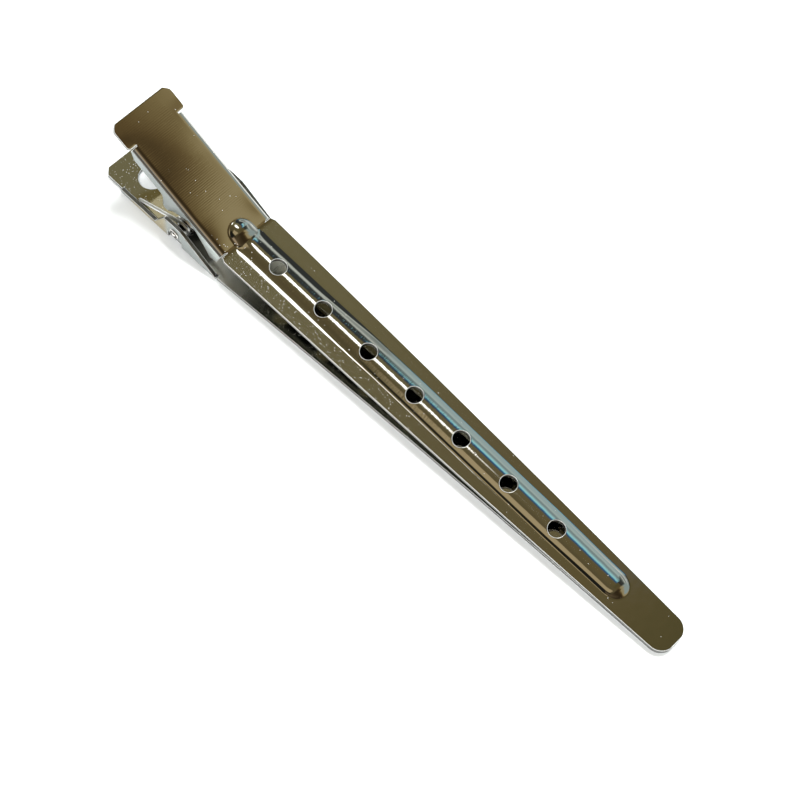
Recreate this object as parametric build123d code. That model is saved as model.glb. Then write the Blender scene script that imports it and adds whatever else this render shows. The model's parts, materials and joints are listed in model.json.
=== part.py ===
from build123d import *
from math import atan2, asin, cos, degrees, hypot, radians, sin
import os

# Duckbill hair clip, millimetres. X runs from the finger levers to the tip, Y across, Z up.
# The clip lies closed on the flat underside of its lower jaw. While the pieces are shaped, X = 0 is
# the bend of the upper jaw and Z = 0 the surface below; the last step moves the origin to the middle
# of the footprint.

# Sheet and the shared layout
OVERALL_LENGTH = 90.0       # lower jaw, rear edge to tip
SHEET = 0.5                 # thickness of both stampings
BLADE_LENGTH = 69.4         # bend to tip, along the upper blade
LEVER_LENGTH = 20.3         # bend to rear edge, along the upper lever
LEVER_ANGLE = 23.8          # upper lever against the lower jaw
BEND_HEIGHT = 4.1           # outer face of the upper jaw at its bend
TIP_GAP = 0.05              # air left between the closed blades at the tip

# Upper blade
BLADE_FLARE = 0.3           # blade wider than the lever at the bend, each side
BLADE_HALF_MIDDLE = 3.5     # half width at the middle of the blade
BLADE_HALF_TIP = 2.45       # half width where the tip starts to round
TIP_RADIUS = 1.8            # round corners of the tip
RIB_WIDTH = 3.3
RIB_HEIGHT = 0.4            # crest of the rib over the blade
RIB_FRONT = 61.6            # bend to the front end of the rib
RIB_REAR = 2.7              # bend to the rear end of the rib, up the lever
RIB_EDGE = 0.25             # rounding of the crest
HOLE_COUNT = 7
HOLE_RADIUS = 1.07
HOLE_PITCH = 7.6
HOLE_FIRST = 5.3            # bend to the first hole

# Upper lever
JAW_GAP = 0.75              # flange inside the lower jaw's wall
HEAD_FLARE = 0.55           # T-shaped grip end wider than the lever, each side
HEAD_LENGTH = 3.5
HEAD_CORNER = 0.7
FOLD_RADIUS = 0.6           # outer radius of the folds
FLANGE_DEPTH = 2.4          # flange along the finger part of the lever
LOBE_DEPTH = 4.75           # deepest part of the flange, behind the pin
LOBE_REAR = 10.4            # bend to the rear end of the lobe
LOBE_WIDTH = 2.2
LOBE_LEAN = 0.9             # how far the lobe's rear edge leans forward as it goes down
LOBE_ROUND = 0.5            # rounding of the lobe's corners
ARCH_REAR_DEPTH = 3.5       # where the arch over the pin leaves the lobe
ARCH_DEPTH = 1.15           # flange left above the pin
ARCH_BOW = 0.28             # how far the arch's long front side bulges up
FRONT_DEPTH = 3.7           # front point of the flange
FRONT_POINT = 1.1           # bend to the front point
FRONT_EDGE = 0.35           # bend to the flange's front edge
EAR_RADIUS = 1.25           # round end of the inner ears
SHOULDER_FRONT = 0.8        # shoulder of the inner ears behind the pin
SHOULDER_LENGTH = 1.2
SHOULDER_RISE = 2.95        # top of the shoulder over the pin

# Pin and spring
PIN_RADIUS = 0.55
PIN_BEHIND = 7.3            # pin behind the bend
PIN_HEIGHT = 2.4
PIN_PLAY = 0.05             # radial running clearance in the ears
PIN_HEAD_RADIUS = 0.75
PIN_HEAD_HEIGHT = 0.3
PIN_HEAD_ROUND = 0.24
PIN_HEAD_GAP = 0.03
WIRE_RADIUS = 0.25
COIL_RADIUS = 1.1           # pin axis to the middle of the wire
COIL_TURNS = 4              # in each of the two coils
TURN_PITCH = 0.48
COIL_GAP = 0.07             # coil end to the lower jaw's wall
LOWER_LEG = 7.1             # pin to the free end of the lower legs
UPPER_LEG = 6.4             # pin to the cross wire, along the lever
LEG_GAP = 0.03
LOOP_ROUND = 0.75           # corners of the loop

# Lower jaw
LOWER_HALF = 5.2            # half width over the walls
LOWER_HEAD_INSET = 0.4      # grip end narrower than the walls, each side
LOWER_HEAD_LENGTH = 3.6
LOWER_HEAD_CORNER = 0.8
LOWER_BLADE_INSET = 0.15    # blade narrower than the walls where it leaves them, each side
LOWER_INSET = 0.12          # lower blade inside the upper blade's outline, each side
RIM_HEIGHT = 0.95           # low rim between the grip end and the ears
WALL_EAR_HEIGHT = 3.9       # ears that carry the pin
WALL_EAR_REAR = 3.6         # ear behind the pin, at its foot
WALL_EAR_SLOPE = 1.75       # lean of the ear's rear edge
WALL_EAR_FRONT = 1.0        # ear in front of the pin, where the wall starts to fall
WALL_FRONT = 0.3            # bend to the front end of the wall
LOWER_FOLD = 0.45           # outer radius of the lower folds
RELIEF_BEHIND = 1.5         # cut at the fold under the pin, its rear end behind the pin
RELIEF_LENGTH = 2.7
RELIEF_HEIGHT = 1.35
RELIEF_SLOPE = 0.5          # lean of the cut's ends
GRIP_HOLE_RADIUS = 1.7
GRIP_HOLE_BEHIND = 15.9     # hole behind the bend
GRIP_HOLE_SPREAD = 1.1      # the hole is drawn out by this much each way across

# Margin by which edges and corners are told apart when they are picked for rounding
PICK = 0.01

# Worked out from the above
BLADE_DROP = BEND_HEIGHT - 2 * SHEET - TIP_GAP
BLADE_ANGLE = degrees(asin(BLADE_DROP / BLADE_LENGTH))
TIP_X = BLADE_LENGTH * cos(radians(BLADE_ANGLE))
LOWER_REAR = OVERALL_LENGTH - TIP_X
MIDDLE_X = (TIP_X - LOWER_REAR) / 2
SINE = sin(radians(LEVER_ANGLE))
COSINE = cos(radians(LEVER_ANGLE))
PIN_UNDER_BEND = BEND_HEIGHT - PIN_HEIGHT
PIN_ALONG = PIN_BEHIND * COSINE - PIN_UNDER_BEND * SINE
PIN_DEPTH = PIN_BEHIND * SINE + PIN_UNDER_BEND * COSINE
WALL_INSIDE = LOWER_HALF - SHEET
LEVER_HALF = WALL_INSIDE - JAW_GAP
HEAD_HALF = LEVER_HALF + HEAD_FLARE
BLADE_HALF_REAR = LEVER_HALF + BLADE_FLARE
LOWER_HEAD_HALF = LOWER_HALF - LOWER_HEAD_INSET
LOWER_BLADE_HALF = LOWER_HALF - LOWER_BLADE_INSET
COIL_OUTER = WALL_INSIDE - COIL_GAP - WIRE_RADIUS
COIL_INNER = COIL_OUTER - (COIL_TURNS - 1) * TURN_PITCH
EAR_HALF = COIL_INNER - WIRE_RADIUS - COIL_GAP


def pin_place():
    """Frame of the pin: Z along the pin."""
    return Location((-PIN_BEHIND, 0, PIN_HEIGHT)) * Rotation(90, 0, 0)


def pin_bore():
    """Running hole for the pin, through both sides of the clip."""
    return pin_place() * Cylinder(PIN_RADIUS + PIN_PLAY, 2 * (LOWER_HALF + SHEET))


def lever_place():
    """Frame of the upper lever: X up the lever from the bend, Y across, Z out of its top face."""
    along = (-COSINE, 0, SINE)
    return Plane(origin=(0, 0, BEND_HEIGHT), x_dir=along, z_dir=(SINE, 0, COSINE)).location


def blade_place():
    """Frame of the upper blade: X from the bend to the tip, Y across, Z out of its top face."""
    return Location((0, 0, BEND_HEIGHT)) * Rotation(0, BLADE_ANGLE, 0)


def side_slab(face_outline, outer, thickness):
    """Two mirrored upright slabs from one outline of (along, height) points and arcs."""
    face = Plane.XZ * face_outline
    near = Pos(0, thickness - outer, 0) * extrude(face, thickness)
    return near + mirror(near, Plane.XZ)


def blade_outline(length, half_rear, half_middle, half_tip, inset):
    """Plan of a blade: gently bowed sides that narrow to a tip with round corners."""
    straight = length - TIP_RADIUS
    a = (0, half_rear)
    b = (straight / 2, half_middle - inset)
    c = (straight, half_tip - inset)
    d = (length, half_tip - inset - TIP_RADIUS)
    side = ThreePointArc(a, b, c)
    turn = RadiusArc(c, d, TIP_RADIUS)
    half = Wire([side, turn])
    other = mirror(half, Plane.XZ)
    ends = [Line(d, (d[0], -d[1])), Line(a, (a[0], -a[1]))]
    return make_face([*half.edges(), *other.edges(), *ends])


def rib(rear, front, width, height, sink):
    """Long raised rib with round ends; it reaches sink below its own base plane."""
    middle = (front + rear) / 2
    plan = Pos(middle, 0, -sink) * SlotOverall(front - rear, width)
    body = extrude(plan, height + sink)
    crest = body.faces().sort_by(Axis.Z)[-1]
    return fillet(crest.edges(), RIB_EDGE)


def head_outline(rear, length, half, corner, body_half):
    """Plan of a T-shaped grip end with clipped rear corners and a step down to the lever."""
    front = rear - length
    points = [
        (front - corner, body_half), (front, half), (rear - corner, half), (rear, half - corner),
        (rear, corner - half), (rear - corner, -half), (front, -half), (front - corner, -body_half),
    ]
    return make_face(Polyline(*points, close=True))


def upper_flange_outline():
    """Side of the upper lever in (along, depth): finger part, rear lobe, arch over the pin, front point."""
    finger_end = LEVER_LENGTH - HEAD_LENGTH
    lobe_front = LOBE_REAR - LOBE_WIDTH
    arch_rear = (lobe_front, -ARCH_REAR_DEPTH)
    arch_top = (PIN_ALONG, -ARCH_DEPTH)
    front_point = (FRONT_POINT, -FRONT_DEPTH)
    rear_side = Polyline(
        (0, -SHEET), (0, 0), (finger_end, 0), (finger_end, -FLANGE_DEPTH / 2),
        (finger_end - FLANGE_DEPTH / 2, -FLANGE_DEPTH), (LOBE_REAR, -FLANGE_DEPTH),
        (LOBE_REAR - LOBE_LEAN, -LOBE_DEPTH), (lobe_front + LOBE_ROUND, -LOBE_DEPTH), arch_rear)
    front_low = FRONT_POINT - FRONT_EDGE - FRONT_DEPTH
    front_side = Polyline(
        front_point, (FRONT_EDGE, front_low), (FRONT_EDGE, -2 * SHEET), (0, -SHEET))
    arch = [Line(arch_rear, arch_top), SagittaArc(front_point, arch_top, ARCH_BOW)]
    outline = make_face([*rear_side.edges(), *arch, *front_side.edges()])
    corners = [v for v in outline.vertices() if v.Y < PICK - LOBE_DEPTH]
    return fillet(corners, LOBE_ROUND)


def upper_ears():
    """Inner ears bent in from the flanges and down to the pin, in the lever's frame."""
    front = PIN_ALONG + SHOULDER_FRONT
    rear = front + SHOULDER_LENGTH
    top = SHOULDER_RISE - PIN_DEPTH
    eye = Pos(PIN_ALONG, -PIN_DEPTH) * Circle(EAR_RADIUS)
    strap = make_hull([*eye.edges(), Line((front, top), (rear, top))])
    plate = side_slab(strap, EAR_HALF, SHEET)
    inner = EAR_HALF - SHEET
    middle = ((front + rear) / 2, (LEVER_HALF + inner) / 2, top - SHEET / 2)
    shelf = Pos(*middle) * Box(SHOULDER_LENGTH, LEVER_HALF - inner, SHEET)
    return plate + shelf + mirror(shelf, Plane.XZ)


def bend_wedge():
    """Outside of the bend: the sheet swept round the bend line, in the shared frame."""
    half_way = (LEVER_ANGLE + BLADE_ANGLE) / 2
    turns = [radians(LEVER_ANGLE), radians(half_way), radians(BLADE_ANGLE)]
    lever_side, middle, blade_side = [(-SHEET * sin(turn), -SHEET * cos(turn)) for turn in turns]
    outside = ThreePointArc(lever_side, middle, blade_side)
    wedge = make_face([Line((0, 0), lever_side), outside, Line(blade_side, (0, 0))])
    return Pos(0, 0, BEND_HEIGHT) * extrude(Plane.XZ * wedge, LEVER_HALF, both=True)


def half_rib(reach):
    """Rib from the bend to one round end, standing on the sheet's top face."""
    whole = rib(-reach, reach, RIB_WIDTH, RIB_HEIGHT, SHEET / 2)
    return whole & Pos(reach / 2, 0, 0) * Box(reach, 2 * RIB_WIDTH, 4 * RIB_HEIGHT + SHEET)


def make_upper_lever():
    """Grip end, plate with folded flanges, inner ears and the rear end of the rib, in the lever's frame."""
    finger_end = LEVER_LENGTH - HEAD_LENGTH
    plate = Pos(finger_end / 2, 0, -SHEET / 2) * Box(finger_end, 2 * LEVER_HALF, SHEET)
    shell = plate + side_slab(upper_flange_outline(), LEVER_HALF, SHEET)
    folds = [e for e in shell.edges().filter_by(Axis.X)
             if abs(e.center().Z) < PICK and abs(abs(e.center().Y) - LEVER_HALF) < PICK]
    shell = fillet(folds, FOLD_RADIUS)
    head_plan = head_outline(LEVER_LENGTH, HEAD_LENGTH, HEAD_HALF, HEAD_CORNER, LEVER_HALF - FOLD_RADIUS)
    head = Pos(0, 0, -SHEET) * extrude(head_plan, SHEET)
    return shell + head + upper_ears() + half_rib(RIB_REAR)


def make_upper_blade():
    """Long blade, its rib hollow from below, in the blade's frame."""
    outline = blade_outline(BLADE_LENGTH, BLADE_HALF_REAR, BLADE_HALF_MIDDLE, BLADE_HALF_TIP, 0)
    blade = Pos(0, 0, -SHEET) * extrude(outline, SHEET) + half_rib(RIB_FRONT)
    groove = rib(SHEET, RIB_FRONT - SHEET, RIB_WIDTH - 2 * SHEET, RIB_HEIGHT, 0)
    return blade - Pos(0, 0, -SHEET) * groove


def make_upper_jaw():
    """One stamping: grip end, lever with folded flanges, inner ears, bend, ribbed blade with holes."""
    jaw = lever_place() * make_upper_lever() + bend_wedge() + blade_place() * make_upper_blade()
    drill = Cylinder(HOLE_RADIUS, 2 * (SHEET + RIB_HEIGHT))
    for i in range(HOLE_COUNT):
        jaw -= blade_place() * Pos(HOLE_FIRST + i * HOLE_PITCH, 0, 0) * drill
    return jaw - pin_bore()


def lower_wall_outline():
    """Side of the lower jaw in (X, Z): low rim, ear round the pin, wall that falls to the blade."""
    rim_rear = LOWER_HEAD_LENGTH - LOWER_REAR
    ear_rear = -PIN_BEHIND - WALL_EAR_REAR
    return make_face(Polyline(
        (rim_rear, 0), (rim_rear, RIM_HEIGHT), (ear_rear, RIM_HEIGHT),
        (ear_rear + WALL_EAR_SLOPE, WALL_EAR_HEIGHT), (WALL_EAR_FRONT - PIN_BEHIND, WALL_EAR_HEIGHT),
        (-WALL_FRONT, SHEET), (-WALL_FRONT, 0), close=True))


def lower_relief():
    """Cuts at the two folds under the pin."""
    rear = -PIN_BEHIND - RELIEF_BEHIND
    front = rear + RELIEF_LENGTH
    outline = make_face(Polyline(
        (rear, 0), (rear + RELIEF_SLOPE, RELIEF_HEIGHT / 2), (front - RELIEF_SLOPE, RELIEF_HEIGHT),
        (front, 0), close=True))
    return side_slab(outline, LOWER_HALF + SHEET, 2 * SHEET + LOWER_FOLD)


def make_lower_jaw():
    """One stamping: grip end with a hole, flat strip with upright walls and ears, plain blade."""
    rim_rear = LOWER_HEAD_LENGTH - LOWER_REAR
    strip = Box(-rim_rear - WALL_FRONT, 2 * LOWER_HALF, SHEET)
    strip = Pos((rim_rear - WALL_FRONT) / 2, 0, SHEET / 2) * strip
    shell = strip + side_slab(lower_wall_outline(), LOWER_HALF, SHEET)
    folds = [e for e in shell.edges().filter_by(Axis.X)
             if abs(e.center().Z) < PICK and abs(abs(e.center().Y) - LOWER_HALF) < PICK]
    shell = fillet(folds, LOWER_FOLD) - lower_relief()
    head_plan = head_outline(LOWER_REAR, LOWER_HEAD_LENGTH, LOWER_HEAD_HALF, LOWER_HEAD_CORNER,
                             LOWER_HALF - LOWER_FOLD)
    head = mirror(extrude(head_plan, SHEET), Plane.YZ)
    plan = blade_outline(TIP_X + WALL_FRONT, LOWER_BLADE_HALF, BLADE_HALF_MIDDLE, BLADE_HALF_TIP,
                         LOWER_INSET)
    blade = Pos(-WALL_FRONT, 0, 0) * extrude(plan, SHEET)
    jaw = shell + head + blade
    hole = Rotation(0, 0, 90) * SlotCenterToCenter(2 * GRIP_HOLE_SPREAD, 2 * GRIP_HOLE_RADIUS)
    jaw -= Pos(-GRIP_HOLE_BEHIND, 0, 0) * extrude(hole, SHEET)
    return jaw - pin_bore()


def make_hinge_pin():
    """Plain pin through both jaws' ears, with a low domed head outside each ear of the lower jaw."""
    inner = LOWER_HALF + PIN_HEAD_GAP
    shank = Cylinder(PIN_RADIUS, 2 * inner)
    head = Pos(0, 0, inner + PIN_HEAD_HEIGHT / 2) * Cylinder(PIN_HEAD_RADIUS, PIN_HEAD_HEIGHT)
    rim = head.faces().sort_by(Axis.Z)[-1].edges()
    head = fillet(rim, PIN_HEAD_ROUND)
    return pin_place() * (shank + head + mirror(head, Plane.XY))


def coil():
    """Close turns of wire round the pin, on one side of the clip."""
    turns = Sketch()
    for i in range(COIL_TURNS):
        turns += Pos(COIL_RADIUS, COIL_INNER + i * TURN_PITCH) * Circle(WIRE_RADIUS)
    return Pos(-PIN_BEHIND, 0, PIN_HEIGHT) * revolve(turns, Axis.Y, 360)


def tangent_run(centre, end, side):
    """Start, slope and length of a straight wire from the coil to its end, in (X, Z).

    The wire ends behind the pin; side is +1 where it leaves over the coil and -1 where it leaves under it.
    """
    dx = end[0] - centre[0]
    dz = end[1] - centre[1]
    reach = hypot(dx, dz)
    turn = asin(COIL_RADIUS / reach)
    slope = atan2(dz, dx) + side * turn
    start = (centre[0] + side * COIL_RADIUS * sin(slope), centre[1] - side * COIL_RADIUS * cos(slope))
    return start, slope, reach * cos(turn)


def make_torsion_spring():
    """Double torsion spring: two coils on the pin, two legs on the lower jaw, one loop under the lever."""
    centre = (-PIN_BEHIND, PIN_HEIGHT)
    under = SHEET + WIRE_RADIUS + LEG_GAP
    foot = (-PIN_BEHIND - LOWER_LEG, under)
    start, slope, length = tangent_run(centre, foot, 1)
    direction = (cos(slope), 0, sin(slope))
    section = Plane(origin=(start[0], COIL_OUTER, start[1]), z_dir=direction) * Circle(WIRE_RADIUS)
    leg = extrude(section, length)
    side = coil() + leg
    along = PIN_ALONG + UPPER_LEG
    top = (-along * COSINE - under * SINE, BEND_HEIGHT + along * SINE - under * COSINE)
    start, slope, length = tangent_run(centre, top, -1)
    direction = (cos(slope), 0, sin(slope))
    plane = Plane(origin=(start[0], 0, start[1]), x_dir=direction, z_dir=(-sin(slope), 0, cos(slope)))
    corners = [(0, COIL_INNER), (length, COIL_INNER), (length, -COIL_INNER), (0, -COIL_INNER)]
    loop = plane * FilletPolyline(*corners, radius=LOOP_ROUND)
    section = Plane(origin=loop @ 0, z_dir=loop % 0) * Circle(WIRE_RADIUS)
    bail = sweep(section, path=loop)
    return side + mirror(side, Plane.XZ) + bail


def build():
    """All pieces, in the shared frame."""
    return {
        "upper_jaw": make_upper_jaw(),
        "lower_jaw": make_lower_jaw(),
        "hinge_pin": make_hinge_pin(),
        "torsion_spring": make_torsion_spring(),
    }


os.makedirs("parts", exist_ok=True)
for name, piece in build().items():
    placed = Pos(-MIDDLE_X, 0, 0) * piece
    print(name, placed.is_valid, len(placed.solids()), round(placed.volume, 2))
    export_step(placed, f"parts/{name}.step")
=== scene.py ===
# %% [markdown]
# # A duckbill hair clip in Blender
# The clip is two steel stampings on one pin: a flat lower jaw with upright ears, and an upper jaw that
# is a finger lever behind the pin and a long ribbed blade in front of it. A double torsion spring
# keeps the blades shut. The solid model gives the sizes and the places; here each stamping is made
# again as a folded sheet, fine enough for a plated surface that mirrors everything around it.

# %% Load the frame
import json
import math

import bmesh
import bpy
import numpy as np
from mathutils import Matrix

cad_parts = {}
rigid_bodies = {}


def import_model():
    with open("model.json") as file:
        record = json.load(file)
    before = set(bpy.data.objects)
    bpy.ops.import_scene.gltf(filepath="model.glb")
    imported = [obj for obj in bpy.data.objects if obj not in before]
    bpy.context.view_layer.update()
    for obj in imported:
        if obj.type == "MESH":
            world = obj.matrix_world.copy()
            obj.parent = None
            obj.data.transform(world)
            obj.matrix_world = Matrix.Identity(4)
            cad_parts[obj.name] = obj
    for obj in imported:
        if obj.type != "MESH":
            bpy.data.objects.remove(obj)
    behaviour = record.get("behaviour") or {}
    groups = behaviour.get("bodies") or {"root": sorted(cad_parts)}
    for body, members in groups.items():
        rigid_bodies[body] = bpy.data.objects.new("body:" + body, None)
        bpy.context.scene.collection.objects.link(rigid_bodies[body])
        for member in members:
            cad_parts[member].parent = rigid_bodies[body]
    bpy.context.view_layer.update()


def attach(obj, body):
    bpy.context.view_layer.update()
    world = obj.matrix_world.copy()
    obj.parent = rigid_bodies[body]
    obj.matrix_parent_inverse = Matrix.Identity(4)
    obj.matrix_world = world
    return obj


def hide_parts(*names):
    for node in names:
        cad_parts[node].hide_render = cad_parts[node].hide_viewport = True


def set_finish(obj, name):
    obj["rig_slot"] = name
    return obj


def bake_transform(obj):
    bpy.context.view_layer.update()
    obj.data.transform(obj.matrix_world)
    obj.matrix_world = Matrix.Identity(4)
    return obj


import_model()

# %% [markdown]
# ## Shared sizes
# The numbers are the stampings' own sizes in millimetres, as a toolmaker would write them: where the
# bend is, how long the blade and the lever are, how high the rib stands. While the pieces are shaped,
# X = 0 is the upper jaw's bend and the surface below is Z = 0. The last step of every piece moves it
# to the shared frame, whose origin is the middle of the footprint, and turns millimetres to metres.

# %% Sizes in millimetres
SHEET = 0.5
OVERALL = 90.0
BEND_HEIGHT = 4.1
BLADE_LENGTH = 69.4
LEVER_LENGTH = 20.3
LEVER_TURN = math.radians(23.8)
BLADE_TURN = math.asin((BEND_HEIGHT - 2 * SHEET - 0.05) / BLADE_LENGTH)
TIP_X = BLADE_LENGTH * math.cos(BLADE_TURN)
REAR_X = TIP_X - OVERALL
MIDDLE_X = (TIP_X + REAR_X) / 2
PIN_X, PIN_Z = -7.3, 2.4
TIP_ROUND = 1.8
print(f"tip at {TIP_X:.2f} mm, rear at {REAR_X:.2f} mm, middle at {MIDDLE_X:.2f} mm from the bend")

# %% [markdown]
# ## From a grid of points to a mesh
# Every sheet here is one grid: row by row along the clip, column by column across it. A table of
# which cells are kept leaves the holes and slits open. The four corners of each kept cell make one
# face, and numpy numbers them all at once. The flat pattern's own lengths go into a UV map, so that
# a brushed grain can follow the metal round its folds.

# %% Helper: grid to mesh
def to_frame(points):
    """Millimetres from the bend to metres in the shared frame: x less the middle, all divided by 1000."""
    return (points - np.array([MIDDLE_X, 0, 0])) / 1000


def cell_corners(table):
    """The four corners of each cell of a table of points, in order round the cell."""
    return np.stack([table[:-1, :-1], table[1:, :-1], table[1:, 1:], table[:-1, 1:]], -1)


def add_object(name, data):
    """A new object in the scene."""
    made = bpy.data.objects.new(name, data)
    bpy.context.scene.collection.objects.link(made)
    return made


def sheet_object(name, points, flat, keep=slice(None)):
    """Object from grid points (rows, columns, 3), flat lengths (rows, columns, 2) and the kept cells."""
    number = np.arange(points[..., 0].size).reshape(points.shape[:2])
    used, corners = np.unique(cell_corners(number)[keep], return_inverse=True)
    corners = corners.reshape(-1, 4)
    mesh = bpy.data.meshes.new(name)
    mesh.from_pydata(to_frame(points.reshape(-1, 3)[used]).tolist(), [], corners.tolist())
    layer = mesh.uv_layers.new(name="flat_mm")
    layer.data.foreach_set("uv", flat.reshape(-1, 2)[used][corners.ravel()].astype(np.float32).ravel())
    mesh.polygons.foreach_set("use_smooth", np.ones(len(corners), bool))
    mesh.update()
    print(f"{name}: {len(used)} points, {len(corners)} cells")
    return add_object(name, mesh)


# %% [markdown]
# ## Rows, edges and thickness
# The press leaves sharp cut edges, and tumbling and plating round them off by a twentieth of a
# millimetre. Solidify gives the computed face its thickness, and Bevel rounds the edges. A bevel is
# no wider than the narrowest cell beside any edge allows, so the cells along an edge get one width.

# %% Helpers: rows, edge cells and thickness
# Material numbers of the cut edge and of the bevel, which carries a painted highlight.
CUT_EDGE, EDGE_HIGHLIGHT = 1, 2


def steps(*stops):
    """Row or column positions: (start, end, count) runs put end to end, each boundary once."""
    runs = [np.linspace(a, b, n + 1)[:-1] for a, b, n in stops]
    return np.concatenate([*runs, [stops[-1][1]]])


def edge_cell(half, first, cell):
    """Moves the columns after first a little, so that the last cell is exactly cell wide."""
    start, end = half[:, first:first + 1], half[:, -1:]
    moved = start + (half[:, first:-1] - start) * (end - cell - start) / (half[:, -2:-1] - start)
    return np.concatenate([half[:, :first], moved, end], 1)


def columns(core, ends, counts, cell):
    """Columns over a blank: the core, then runs of count cells out to each end, and all of it mirrored."""
    half, start = [core], core[:, -1]
    for end, count in zip(ends, counts):
        half.append(start[:, None] + (end - start)[:, None] * steps((0, 1, count))[None, 1:])
        start = end
    half = edge_cell(np.concatenate(half, 1), core.shape[1] - 1, cell)
    return np.concatenate([-half[:, :0:-1], half], 1)


def round_tip(end):
    """Row positions round the tip's corner: even in angle, and a last row as wide as an edge cell."""
    return end - TIP_ROUND + TIP_ROUND * np.sin(np.radians([*np.linspace(0, 74, 11), 90]))


def thicken(piece, thickness=SHEET, edge=0.055):
    """Gives a sheet its thickness behind the face that was computed, and takes the sharp edges off."""
    wall = piece.modifiers.new("thickness", "SOLIDIFY")
    wall.thickness = thickness / 1000
    wall.offset = -1
    wall.use_even_offset = True
    wall.material_offset_rim = CUT_EDGE
    rim = piece.modifiers.new("soft_edges", "BEVEL")
    rim.width = edge / 1000
    rim.segments = 3
    rim.limit_method = "ANGLE"
    rim.angle_limit = math.radians(50)
    rim.use_clamp_overlap = False
    rim.material = EDGE_HIGHLIGHT
    return piece


# %% [markdown]
# ## The camera
# The photograph looks down at the clip from its tip's side, at about 64 degrees. Seven round holes
# of one pitch, the straight edges and the bend fix the place of the camera to a few millimetres. It
# stands a quarter of a metre away, so the lever's end is drawn a little smaller than the tip.

# %% Camera
def placed(right, up, back, place):
    """Matrix of something at a place, by the directions of its own three axes."""
    turn = np.eye(4)
    turn[:3] = np.stack([right, up, back, place], 1)
    return Matrix(turn.tolist())


def place_camera():
    """Camera from its place and the directions of picture right, picture down and the line of sight."""
    right = np.array([0.7110792, 0.70097966, 0.05471638])
    down = np.array([0.65128502, -0.62734385, -0.426928])
    sight = np.array([-0.26494186, 0.33921558, -0.90262872])
    place = np.array([65.68, -81.90, 216.61]) / 1000
    data = bpy.data.cameras.new("camera")
    data.sensor_width = 36
    data.lens = 91.61
    data.clip_start, data.clip_end = 0.01, 20
    camera = add_object("camera", data)
    camera.matrix_world = placed(right, -down, -sight, place)
    bpy.context.scene.camera = camera
    print(f"camera {np.linalg.norm(place) * 1000:.0f} mm from the clip's middle")


place_camera()

# %% [markdown]
# ## The upper jaw's line
# Seen from the side, the upper stamping is two straight runs with a small round bend between them.
# The distance along the metal, u, is negative on the lever and positive on the blade. Inside the
# bend the direction turns evenly with u, so the place is the integral of a turning direction: sines
# and cosines of the angle reached.

# %% Side line of the upper jaw
BEND_RADIUS = 2.2
BEND_TURN = LEVER_TURN - BLADE_TURN
BEND_HALF = BEND_RADIUS * math.tan(BEND_TURN / 2)


def upper_line(u):
    """Place (x, z) and upward normal of the top face at distance u from the bend's middle."""
    angle = -LEVER_TURN + BEND_TURN * np.clip(u / BEND_HALF / 2 + 0.5, 0, 1)
    start = np.array([-math.cos(LEVER_TURN), math.sin(LEVER_TURN)]) * BEND_HALF
    x = start[0] + BEND_RADIUS * (np.sin(angle) + math.sin(LEVER_TURN))
    z = start[1] - BEND_RADIUS * (np.cos(angle) - math.cos(LEVER_TURN)) + BEND_HEIGHT
    before = np.minimum(u + BEND_HALF, 0)
    after = np.maximum(u - BEND_HALF, 0)
    x = x + before * math.cos(LEVER_TURN) + after * math.cos(BLADE_TURN)
    z = z - before * math.sin(LEVER_TURN) - after * math.sin(BLADE_TURN)
    return x, z, -np.sin(angle), np.cos(angle)


print(f"bend of radius {BEND_RADIUS} mm turns {math.degrees(BEND_TURN):.1f} degrees")

# %% [markdown]
# ## The pressed rib
# A punch pushes a long rib up out of the blade, and its round rear end climbs over the bend as a
# gusset that keeps the lever from folding. The rib is a ridge over a capsule: the height depends
# only on the distance from a line, which sways sideways a little. Its crest is an arc and its foot a
# hollow curve, wide and soft near the bend. The lever is crowned by a tenth of a millimetre across:
# too little to see as a shape, but a mirror finish shows it.

# %% Height of the rib and the crown of the lever
RIB_HALF = 1.96
RIB_HEIGHT = 0.41
RIB_ENDS = (-2.75, 61.8)
RIB_CREST = 0.275
RIB_SWAY = 0.12
RIB_WIDE = 0.39
DOME_HALF = 1.78
GUSSET = 0.16
CROWN = 0.10


def smooth(t):
    """0 to 1 with level ends: 3 t squared less 2 t cubed."""
    t = np.clip(t, 0, 1)
    return t * t * (3 - 2 * t)


def bell(t):
    """Bell curve of height 1: e to the power of minus t squared."""
    return np.exp(-(t**2))


def ridge(d, shoulder, drop):
    """Ridge of height 1 over the share d of its half width: parabola to the shoulder, then a hollow foot."""
    slope = -2 * drop / shoulder * (1 - shoulder)
    t = np.clip((d - shoulder) / (1 - shoulder), 0, 1)
    foot = (1 - drop) * (1 - t) ** 2 * (1 + 2 * t) + slope * t * (1 - t) ** 2
    return np.where(d < shoulder, 1 - drop * (d / shoulder) ** 2, foot)


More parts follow.
